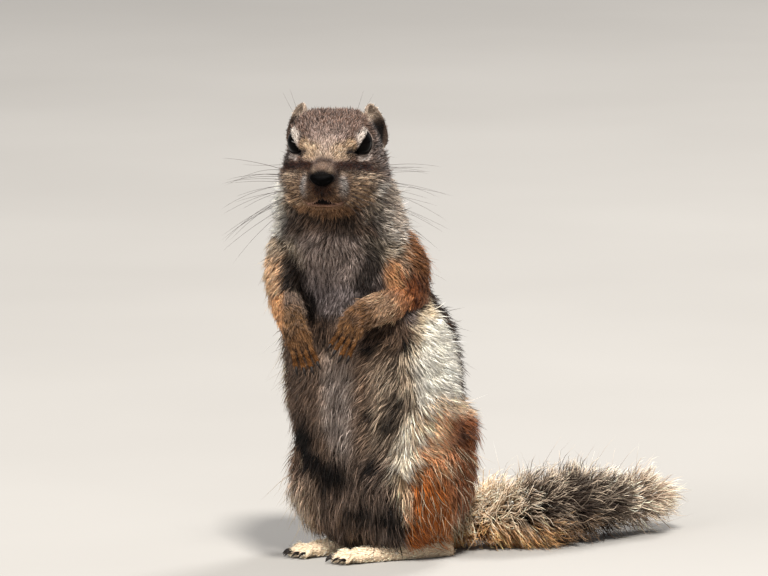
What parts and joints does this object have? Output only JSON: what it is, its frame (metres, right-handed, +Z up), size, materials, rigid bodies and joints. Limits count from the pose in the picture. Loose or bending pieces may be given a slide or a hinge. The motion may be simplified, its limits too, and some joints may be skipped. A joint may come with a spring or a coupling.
{
  "type": "ground squirrel model",
  "caption": "Life-size still model of a ground squirrel sitting upright on its haunches, hands held together before its belly and bushy tail laid beside it.",
  "frame": {"origin": "centre of the bounding box at the level of the floor it sits on", "axes": "+Z up; -Y the way its face looks, with the face turned a little towards -X; +X the side on which its tail lies, which is the animal's left"},
  "size_m": [0.1582, 0.1198, 0.1721],
  "materials": {
    "grey_brown_coat": "soft grey-brown fur",
    "pale_coat": "soft pale fur",
    "tan_coat": "short tan fur",
    "russet_coat": "long russet fur with pale tips",
    "cream_coat": "short cream fur",
    "dark_coat": "long dark fur with pale tips",
    "eye": "polished near-black glass eye",
    "nose_pad": "dark pebbled nose pad"
  },
  "bodies": {
    "root": {"head": "grey_brown_coat", "neck": "pale_coat", "chest": "grey_brown_coat", "belly": "grey_brown_coat", "rump": "dark_coat", "ear_left": "grey_brown_coat", "ear_right": "grey_brown_coat", "upper_arm_left": "tan_coat", "upper_arm_right": "tan_coat", "forearm_left": "tan_coat", "forearm_right": "tan_coat", "hand_left": "tan_coat", "hand_right": "tan_coat", "thigh_left": "russet_coat", "thigh_right": "russet_coat", "shank_left": "dark_coat", "shank_right": "dark_coat", "foot_left": "cream_coat", "foot_right": "cream_coat", "tail_1": "dark_coat", "tail_2": "dark_coat", "tail_3": "dark_coat", "tail_4": "dark_coat", "eye_left": "eye", "eye_right": "eye", "nose": "nose_pad"}
  },
  "joints": []
}
